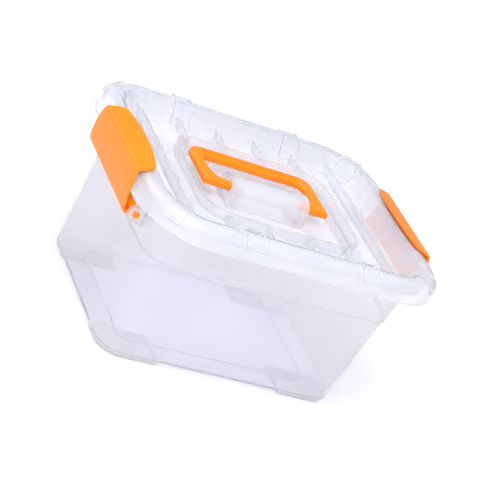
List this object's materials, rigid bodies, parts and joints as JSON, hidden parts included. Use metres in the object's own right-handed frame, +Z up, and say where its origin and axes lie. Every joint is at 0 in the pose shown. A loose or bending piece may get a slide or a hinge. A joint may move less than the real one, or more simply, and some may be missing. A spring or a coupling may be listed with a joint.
{
  "type": "latching storage bin",
  "caption": "Clear plastic storage bin with a lift-off lid, swing latches at its ends and a folding carry handle in the lid.",
  "frame": {"origin": "on the surface the bin stands on, under the middle of the bin", "axes": "+X along the long side towards the right latch, -Y is the front, +Z up"},
  "size_m": [0.2648, 0.2, 0.1396],
  "materials": {
    "clear_tub": "translucent natural polypropylene, satin",
    "clear_lid": "translucent natural polypropylene, gloss",
    "orange_plastic": "moulded orange, gloss"
  },
  "bodies": {
    "tub_body": {"tub": "clear_tub"},
    "lid_body": {"lid": "clear_lid"},
    "latch_left_body": {"latch_left": "orange_plastic"},
    "latch_right_body": {"latch_right": "orange_plastic"},
    "handle_body": {"carry_handle": "orange_plastic"}
  },
  "joints": [
    {"name": "lid_lift", "type": "slide", "parent": "tub_body", "child": "lid_body", "axis": [0, 0, 1], "range_m": [0, 0.0272]},
    {"name": "latch_left_hinge", "type": "hinge", "parent": "tub_body", "child": "latch_left_body", "pos_m": [-0.1205, 0, 0.105], "axis": [0, -1, 0], "range_deg": [0, 150]},
    {"name": "latch_right_hinge", "type": "hinge", "parent": "tub_body", "child": "latch_right_body", "pos_m": [0.1205, 0, 0.105], "axis": [0, 1, 0], "range_deg": [0, 150]},
    {"name": "handle_hinge", "type": "hinge", "parent": "lid_body", "child": "handle_body", "pos_m": [0, 0, 0.122], "axis": [1, 0, 0], "range_deg": [0, 180]}
  ],
  "couplings": [
    {"joint": "latch_left_hinge", "follows": "lid_lift", "rad_per_m": 95.993},
    {"joint": "latch_right_hinge", "follows": "lid_lift", "rad_per_m": 95.993}
  ]
}
